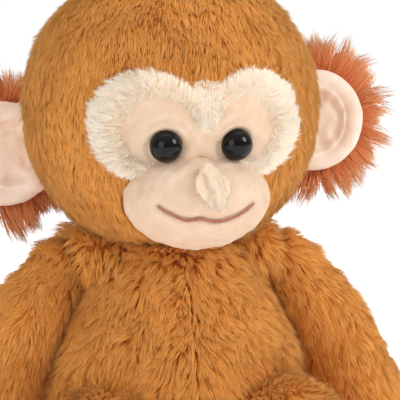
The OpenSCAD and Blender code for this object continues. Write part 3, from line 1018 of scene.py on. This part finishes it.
# ---------------------------------------------------------------- face patch round the eyes
phi = np.linspace(0, 2 * math.pi, 180, endpoint=False)
edge = reach(phi, FIELD_LOBE, FIELD_LOBE_R + 2.5, FIELD_Z)
edge = np.minimum(edge, np.where(np.sin(phi) < -0.1, 22 / np.maximum(-np.sin(phi), 0.1), 99))
rows = np.linspace(0.02, 1, 46)
x = rows[:, None] * edge[None] * np.cos(phi)[None]
z = rows[:, None] * edge[None] * np.sin(phi)[None] + FIELD_Z
ground = (
    -0.8 * np.exp(-(x / 5.5) ** 2)
    - 0.5 * np.exp(-((x - 1.6 - 0.1 * z) / 1.1) ** 2) * smoothstep(-z, 2, 12)
)
for s in (-1, 1):
    dx, dz = x - s * EYE_X, z - EYE_Z
    rho, up = np.hypot(dx, dz), dz / np.maximum(np.hypot(dx, dz), 1e-6)
    ground += -1.3 * np.exp(-((rho - 7.6) / 2.2) ** 2) * (0.35 + 0.65 * (up < 0.2))
    ground += 2.6 * np.exp(-((rho - 9.4) / 1.9) ** 2) * smoothstep(up, -0.1, 0.9)
    ground += 1.7 * np.exp(-((rho - 13.5) / 3.2) ** 2) * smoothstep(up, -0.1, 0.6)
    ground += -0.7 * np.exp(-((rho - 12.4 - 0.15 * dx * s) / 1.3) ** 2) * smoothstep(up, 0.2, 0.9)
    ground += 0.9 * np.exp(-((rho - 13.0) / 3.5) ** 2) * smoothstep(-up, 0.0, 0.6)
flat = np.stack([x.ravel(), np.zeros(x.size), z.ravel()], 1)
ground += 0.22 * waves(flat, 11, 51)[:, 0].reshape(x.shape) + 0.1 * waves(flat, 5, 52)[:, 0].reshape(x.shape)
tuck = np.clip((rows - 0.93) / 0.07, 0, 1)[:, None] * 2.2
front = on_sphere(x, z, PATCH_R + ground - tuck).reshape(-1, 3)
back = on_sphere(x, z, PATCH_R - 2.6 + 0 * x).reshape(-1, 3)
co, faces = slab(front, back, len(rows), len(phi), True)
m, total = len(phi), len(rows) * len(phi)
faces += [list(range(m)), [total + i for i in range(m)][::-1]]
faces += rim_faces([(len(rows) - 1) * m + i for i in range(m)], total)
patch = facing_out(build("face_patch_soft", co + HEAD, faces))
finished(patch, "head", ["face_patch"], VELOUR)

# ---------------------------------------------------------------- brow mask: a padded border
phi = np.radians(np.linspace(-50, 230, 190))
inner = reach(phi, FIELD_LOBE + np.array([2.4, -0.5]), FIELD_LOBE_R - 1.2, FIELD_Z)
outer = reach(phi, MASK_LOBE - np.array([0.5, 4.2]), MASK_LOBE_R - 7.6, FIELD_Z)
outer = np.maximum(outer, 23.0 * np.exp(-((phi - math.pi / 2) / 0.75) ** 2))
outer = np.maximum(outer, inner + 1.0)
rows = np.linspace(0, 1, 13)
dist = inner[None] + (outer - inner)[None] * rows[:, None]
x, z = dist * np.cos(phi)[None], dist * np.sin(phi)[None] + FIELD_Z
x = x + 2.6 * np.exp(-(x / 12) ** 2) * (z > 0)
crown = 2.6 * np.sin(math.pi * np.clip(rows * 0.9 + 0.06, 0, 1))
crown = crown[:, None] * (0.7 + 0.3 * np.sin(math.pi * np.linspace(0, 1, len(phi))) ** 0.5)[None]
front = on_sphere(x, z, SKIN_R + 1.6 + crown).reshape(-1, 3)
back = on_sphere(x, z, SKIN_R + 0.6 + 0 * x).reshape(-1, 3)
co, faces = slab(front, back, len(rows), len(phi), False)
faces += rim_faces(border(len(rows), len(phi)), len(rows) * len(phi))
mask_skin = facing_out(build("mask_skin", co + HEAD, faces))
finished(mask_skin, "head", ["brow_mask"], CREAM_BACK)

# ---------------------------------------------------------------- eyes
for side, word in SIDES.items():
    turn3 = rot("z", side * EYE_YAW) @ rot("x", -EYE_PITCH)
    r = 7.8
    prof = [(0, -0.6), (r - 1.4, -0.6), (r - 0.5, -0.5), (r - 0.1, -0.1), (r, 0.5)]
    prof += [(r * math.cos(a), 0.5 + (r - 0.3) * math.sin(a))
             for a in np.linspace(0.12, math.pi / 2 - 0.04, 14)]
    prof += [(0, r + 0.2)]
    co, faces = revolve(prof, 64)
    shank = [(0, -12.2), (1.5, -12.2), (2.0, -11.6)] + [
        (2.0 if k % 2 else 1.7, -11 + 0.6 * k) for k in range(17)]
    shank += [(2.0, -0.9), (0, -0.9)]
    co, faces = together((co, faces), revolve(shank, 24))
    co = co @ rot("x", 90).T + np.array([0, -PATCH_R, 0])
    eye = build(f"eye_dome_{word}", co @ turn3.T + HEAD, faces)
    finished(eye, "head", [f"eye_{word}"], GLOSS)
    washer = frame["nodes"][f"eye_washer_{word}"]
    washer.data.materials.clear()
    washer.data.materials.append(WASHER)


# ---------------------------------------------------------------- head pile
CROWN = np.array([2.0, 44.0, 56.0])  # the whorl that the head's pile flows from


def head_comb(q, n):
    p = q - HEAD
    way = (p - CROWN) / 60
    way = way + np.stack([
        0.5 * np.sign(p[:, 0]) * (np.abs(p[:, 0]) / 60) ** 1.2, 0 * p[:, 0], -0.5 + 0 * p[:, 0]], 1)
    return way


def head_keep(q, n):
    p = q - HEAD
    front = p[:, 1] < 0
    off_mask = lobe_gap(p[:, 0], p[:, 2], MASK_LOBE, MASK_LOBE_R - 8.5) > 0
    off_mask &= lobe_gap(p[:, 0], p[:, 2], FIELD_LOBE, FIELD_LOBE_R + 4) > 0
    off_mask &= np.hypot(p[:, 0], p[:, 2] - 5) > 14
    off_muzzle = muzzle_gap(p * (HEAD_R / SKIN_R)) > 0.02
    between = (np.abs(p[:, 0]) < 24) & (p[:, 2] < -8) & (p[:, 2] > -36)
    neck = (p[:, 2] < -60)
    return (~front | (off_mask & off_muzzle & ~between)) & ~neck


subdivided(head_skin)
finished(head_skin, "head", ["head_cover"], BROWN_BACK)


def sixths(split):
    """The front's four parts, above and below a height, and the back's two: names and tests."""
    parts = {}
    for side, word in SIDES.items():
        parts[f"front_{word}_high"] = lambda p, s=side: (
            (p[:, 0] * s >= 0) & (p[:, 1] < 0) & (p[:, 2] >= split))
        parts[f"front_{word}_low"] = lambda p, s=side: (p[:, 0] * s >= 0) & (p[:, 1] < 0) & (p[:, 2] < split)
        parts[f"back_{word}"] = lambda p, s=side: (p[:, 0] * s >= 0) & (p[:, 1] >= 0)
    return parts


for k, (word, inside) in enumerate(sixths(20).items()):
    front = word.startswith("front")
    pile(
        f"head_pile_{word}", head_skin, "head", ["head_cover"], BROWN,
        3.1 if front else 1.1, 9.5, head_comb, seed=100 + k, lift=(0.6, 0.14),
        width=0.19 if front else 0.34, gather=0.2, clump=16, stray=0.14, rough=0.4,
        keep=lambda q, n, inside=inside: head_keep(q, n) & inside(q - HEAD),
    )


# ---------------------------------------------------------------- mask pile
def off_the_head(p, n):
    return unit(n + 1.6 * unit(p - HEAD))


def mask_comb(q, n):
    p = q - HEAD
    out = np.stack([p[:, 0] - np.sign(p[:, 0]) * 16, 0 * p[:, 0], p[:, 2] + 5], 1)
    out = unit(out)
    middle = np.exp(-((p[:, 0] - 2.6) / 6.0) ** 2)[:, None] * (p[:, 2] > -2)[:, None]
    return out * (1 - middle) + middle * np.array([0.0, 0.0, -1.0])


def mask_keep(q, n):
    p = q - HEAD
    return (np.linalg.norm(p, axis=1) > SKIN_R + 1.5) & (p[:, 2] > -30)


def field_gap(q):
    """How far each point lies outside the outline of the velour field."""
    return lobe_gap((q - HEAD)[:, 0], (q - HEAD)[:, 2], FIELD_LOBE, FIELD_LOBE_R)


for word, sign in (("left", 1), ("right", -1)):
    pile(
        f"mask_pile_{word}", mask_skin, "head", ["brow_mask"], CREAM, 7.5,
        lambda q: 5.2 + 2.4 * smoothstep(field_gap(q), 0, 7),
        mask_comb, seed=200 + sign, lift=(0.66, 0.24), rings=3, clump=12, gather=0.3, width=0.19,
        stray=0.2, sheer=True,
        facing=off_the_head,
        raised=lambda q: 0.2 * smoothstep(-field_gap(q), -4, 0),
        keep=lambda q, n, sign=sign: mask_keep(q, n) & ((q - HEAD)[:, 0] * sign >= 0),
    )

# ---------------------------------------------------------------- ears
for side, word in SIDES.items():
    ear, centre = ears[side]
    subdivided(ear)
    p, n = points(ear), normals(ear)
    q = p - centre
    ring, turn_at = np.hypot(q[:, 0], q[:, 2]), np.arctan2(q[:, 2], q[:, 0] * side)
    wrinkle = 0.5 * np.sin(7 * turn_at + 1.3 * side) * np.exp(-((ring - 12) / 4) ** 2)
    wrinkle += 0.3 * np.sin(12 * turn_at + 0.7 * side) * np.exp(-((ring - 15) / 2.5) ** 2)
    crease = -2.4 * np.exp(-((turn_at - 0.25) / 0.13) ** 2) * smoothstep(ring, 6, 16) * (side < 0)
    seam = -0.7 * np.exp(-((ring - EAR_R + 0.8) / 0.7) ** 2) * (q[:, 1] > 1.5)
    offset = wrinkle + crease + seam + (
        0.4 * waves(p, 18, 61 + side)[:, 0] * (1 - 0.7 * smoothstep(ring, 16, 22)))
    set_points(ear, p + n * offset[:, None])
    finished(ear, f"ear_{word}", [f"ear_lining_{word}"], EAR_VELOUR_PAINTED_LIGHT)
    back, middle = fringes[side]
    finished(back, f"ear_{word}", [f"ear_fringe_{word}"], GINGER_BACK)

    def ear_comb(q, n, middle=middle):
        d = q - middle
        way = unit(np.stack([d[:, 0], 0 * d[:, 0], d[:, 2]], 1))
        return way + 0.25 * DOWN

    def ear_keep(q, n, middle=middle):
        d = q - middle
        ring = np.hypot(d[:, 0], d[:, 2])
        clear_of_head = np.linalg.norm(q - HEAD, axis=1) > SKIN_R + 5
        return clear_of_head & (ring > 21) & ((d[:, 1] > -0.2) | (ring > 24))

    def ear_back_keep(q, n, middle=middle):
        d = q - middle
        clear_of_head = np.linalg.norm(q - HEAD, axis=1) > SKIN_R + 3
        return clear_of_head & (np.hypot(d[:, 0], d[:, 2]) <= 22) & (d[:, 1] > -0.2)

    pile(
        f"ear_back_pile_{word}", back, f"ear_{word}", [f"ear_fringe_{word}"], GINGER, 3.0,
        10, ear_comb, keep=ear_back_keep, seed=340 + side, lift=(0.5, 0.1), clump=14, gather=0.25,
        width=0.22, stray=0.2, sheer=True, roundness=2.0,
    )
    pile(
        f"ear_pile_{word}", back, f"ear_{word}", [f"ear_fringe_{word}"], GINGER, 2.3,
        lambda q, middle=middle: 10 + 11 * smoothstep(
            np.hypot((q - middle)[:, 0], (q - middle)[:, 2]), 14, 27),
        ear_comb, keep=ear_keep, seed=300 + side, lift=(0.34, 0.05), rings=3, clump=34, gather=0.8,
        width=0.27, stray=0.34, sheer=True, roundness=4.0,
    )

# ---------------------------------------------------------------- torso
subdivided(torso_skin)
p, n = points(torso_skin), normals(torso_skin)
groove = -1.2 * np.exp(-(p[:, 0] / 1.8) ** 2) * (p[:, 2] > 8) * (p[:, 2] < CHEST_Z + 4)
set_points(torso_skin, p + n * (groove + 0.4 * waves(p, 30, 71)[:, 0])[:, None])
outside_head(torso_skin, SKIN_R + 0.6)
finished(torso_skin, "torso", ["torso_cover"], BROWN_BACK)


def torso_comb(p, n):
    sideways = np.sign(p[:, 0] + 1e-6) * (0.2 + 0.22 * np.exp(-(p[:, 0] / 12) ** 2))
    sideways = np.where(p[:, 0] < 0, sideways * 1.5, sideways)
    way = np.stack([sideways, 0 * sideways, -1 + 0 * sideways], 1)
    return np.where((p[:, 1] < 0)[:, None], way, way * np.array([0.4, 1, 1]))


def torso_keep(p, n):
    ok = np.linalg.norm(p - HEAD, axis=1) > SKIN_R + 4.6
    ok &= ~((n[:, 2] < -0.75) & (p[:, 2] < 8))
    for side in SIDES:
        ok &= leg_depth(p, side, LEG_R + 0.5)[0] < 0
        ok &= np.linalg.norm(p - shoulders[side], axis=1) > ARM_R - 5
    return ok


def above_floor(q):
    q = q.copy()
    q[:, 2] = np.maximum(q[:, 2], 0.3)
    return q


def torso_raised(p):
    """The pile stands up at the collar, and between the body and the arms."""
    collar = smoothstep(p[:, 2], CHEST_Z - 4, CHEST_Z + 8)
    flank = smoothstep(np.abs(p[:, 0]), 40, 52) * smoothstep(p[:, 2], 40, 60)
    return np.maximum(0.18 * collar, 0.12 * flank)


for k, (word, inside) in enumerate(sixths(62).items()):
    front = word.startswith("front")
    pile(
        f"torso_pile_{word}", torso_skin, "torso", ["torso_cover"], BROWN,
        2.8 if front else 0.95, lambda q: 10.5 + 6 * torso_raised(q), torso_comb, seed=400 + k,
        lift=(0.6, 0.16), clump=18, gather=0.4, width=0.2 if front else 0.34, raised=torso_raised,
        keep=lambda q, n, inside=inside: torso_keep(q, n) & inside(q), tidy=above_floor,
    )


# ---------------------------------------------------------------- limbs
def stitched_toes(ob, origin, frame3, side, z_from, across):
    """Presses the grooves between fingers or toes."""
    q, n = (points(ob) - origin) @ frame3, normals(ob)
    depth = np.zeros(len(q))
    for x0 in across:
        depth -= 1.5 * np.exp(-((q[:, 0] - x0) / 1.0) ** 2) * z_from(q)
    p = points(ob)
    return set_points(ob, p + n * (depth + 0.2 * waves(p, 11, 81 + side)[:, 0])[:, None])


for side, word in SIDES.items():
    arm_axis, leg_axis = arm_frame[side] @ DOWN, leg_frame[side] @ DOWN
    finished(subdivided(arms[side]), f"arm_{word}", [f"arm_cover_{word}"], BROWN_BACK)
    finished(subdivided(legs[side]), f"leg_{word}", [f"leg_cover_{word}"], BROWN_BACK)
    stitched_toes(
        subdivided(hands[side]), shoulders[side], arm_frame[side], side,
        lambda q: smoothstep(-q[:, 2], ARM_LEN + 18, ARM_LEN + 26), (-5.5, 0, 5.5),
    )
    stitched_toes(
        subdivided(feet[side]), hips[side], leg_frame[side], side,
        lambda q: smoothstep(-q[:, 1], 14, 22), (-side * 3.5, side * 2.5, side * 8.5),
    )
    finished(hands[side], f"arm_{word}", [f"hand_{word}"], VELOUR)
    finished(feet[side], f"leg_{word}", [f"foot_{word}"], VELOUR)

    def arm_comb(p, n, side=side, axis=arm_axis):
        d = p - shoulders[side]
        whorl = np.exp(-(np.linalg.norm(d, axis=1) / 26) ** 2)[:, None]
        return axis + 0.35 * DOWN + whorl * np.array([side * 0.7, -0.3, 0.0])

    def arm_keep(p, n):
        inner = np.hypot(p[:, 0], p[:, 1]) < body_r(np.clip(p[:, 2], 0, CHEST_Z)) - 12
        return ~(inner & (p[:, 2] < CHEST_Z)) & (np.linalg.norm(p - HEAD, axis=1) > SKIN_R + 3)

    def arm_raised(p, side=side):
        """The pile stands up on the arm's inner side, next to the body and under the head."""
        d = p - shoulders[side]
        return 0.12 * smoothstep(-d[:, 0] * side, 4, 12) * smoothstep(-np.abs(d[:, 2] + 22), -40, -16)

    def arm_length(q, side=side):
        """Strand lengths, shorter over the shoulder."""
        return 9.5 + 6 * arm_raised(q) - 3 * smoothstep((q - shoulders[side])[:, 2], 0, 14)

    for front in (True, False):
        pile(
            f"arm_pile_{'front' if front else 'back'}_{word}", arms[side], f"arm_{word}",
            [f"arm_cover_{word}"], BROWN, 2.7 if front else 1.2,
            arm_length, arm_comb, seed=500 + side + 10 * front,
            keep=lambda p, n, front=front: arm_keep(p, n) & ((n[:, 1] < 0.1) == front),
            lift=(0.42, 0.08), clump=18, gather=0.4, width=0.2 if front else 0.32, raised=arm_raised,
        )

    def leg_comb(p, n, axis=leg_axis):
        return axis + 0.45 * DOWN

    def leg_keep(p, n):
        inner = np.hypot(p[:, 0], p[:, 1]) < body_r(np.clip(p[:, 2], 0, CHEST_Z)) - 14
        return ~inner & ~((n[:, 2] < -0.85) & (p[:, 2] < 8))

    pile(
        f"leg_pile_{word}", legs[side], f"leg_{word}", [f"leg_cover_{word}"], BROWN, 1.25,
        11.0, leg_comb, keep=leg_keep, seed=600 + side, lift=(0.62, 0.16), clump=15, gather=0.5,
        width=0.3, tidy=above_floor,
    )

finished(subdivided(tail_skin), "tail", ["tail_cover"], BROWN_BACK)


def tail_comb(p, n):
    d = p - bend_centre
    return unit(np.stack([d[:, 1], -d[:, 0], 0 * d[:, 0]], 1)) + 0.15 * DOWN


pile(
    "tail_pile", tail_skin, "tail", ["tail_cover"], BROWN, 1.3, 8.0, tail_comb,
    seed=700, lift=(0.6, 0.25), tidy=above_floor,
)


# ---------------------------------------------------------------- what fills it
def filling(name, source, inset, body, node, lumps=0.5):
    """Loose filling: the skin's own form, drawn in and lumpy."""
    ob = build(name, points(source), [list(f.vertices) for f in source.data.polygons])
    mod = ob.modifiers.new("fewer", "DECIMATE")
    mod.ratio = 0.35
    applied(ob)
    p, n = points(ob), normals(ob)
    set_points(ob, p - n * (inset + lumps * waves(p, 15, 91)[:, :1]))
    return finished(ob, body, [node], FIBRE)


filling("head_filling", head_skin, 1.8, "head", "head_stuffing")
filling("muzzle_filling", muzzle, 2.2, "head", "muzzle_stuffing", lumps=0.3)
filling("torso_filling", torso_skin, 2.0, "torso", "torso_stuffing")
filling("tail_filling", tail_skin, 1.5, "tail", "tail_stuffing", lumps=0.3)
for side, word in SIDES.items():
    filling(f"arm_filling_{word}", arms[side], 1.8, f"arm_{word}", f"arm_stuffing_{word}")
    filling(f"leg_filling_{word}", legs[side], 1.8, f"leg_{word}", f"leg_stuffing_{word}")


def lump(name, node, shrink, rough, length, seed, body, material):
    """A soft ball that fills a CAD node's box."""
    lo, hi = (np.array(v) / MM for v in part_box(node))
    ob = build(name, *ball((lo + hi) / 2, (hi - lo) / 2 - shrink, 4))
    p, n = points(ob), normals(ob)
    set_points(ob, p + n * (rough * waves(p, length, seed)[:, :1]))
    return finished(ob, body, [node], material)


lump("pellet_bag_soft", "pellet_bag", 0.6, 0.5, 5, 95, "torso", SACKING)
lump("neck_pad", "neck_stuffing", 0.4, 0.25, 8, 96, "nape", FIBRE)

# the neck's seam: a gathered ring of over-and-over stitches
lo, hi = (np.array(v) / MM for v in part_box("neck_seam"))
ring_r, ring_z = (hi[0] - lo[0]) / 2 - 1.8, (lo[2] + hi[2]) / 2
turns, per = 60, 10
t = np.linspace(0, 2 * math.pi, turns * per, endpoint=False)
coil = np.stack([
    (ring_r + 0.9 * np.cos(turns * t)) * np.cos(t), (ring_r + 0.9 * np.cos(turns * t)) * np.sin(t),
    ring_z + 0.9 * np.sin(turns * t),
], 1)
tangent = unit(np.roll(coil, -1, 0) - np.roll(coil, 1, 0))
side3 = unit(np.cross(tangent, coil - np.array([0, 0, ring_z])))
other3 = np.cross(tangent, side3)
sides = 6
co = np.vstack([[c + 0.7 * (math.cos(a) * s + math.sin(a) * o)
                 for a in np.linspace(0, 2 * math.pi, sides, endpoint=False)]
                for c, s, o in zip(coil, side3, other3)])
seam_ring = build("neck_seam_stitches", co, ring_faces(len(coil), sides, closed=True))
finished(seam_ring, "neck", ["neck_seam"], BROWN_BACK)

# ---------------------------------------------------------------- floor
co = np.array([[-4000, -4000, 0], [4000, -4000, 0], [4000, 6000, 0], [-4000, 6000, 0]])
floor = build("floor", co, [[0, 1, 2, 3]])
floor.data.materials.append(FLOOR)
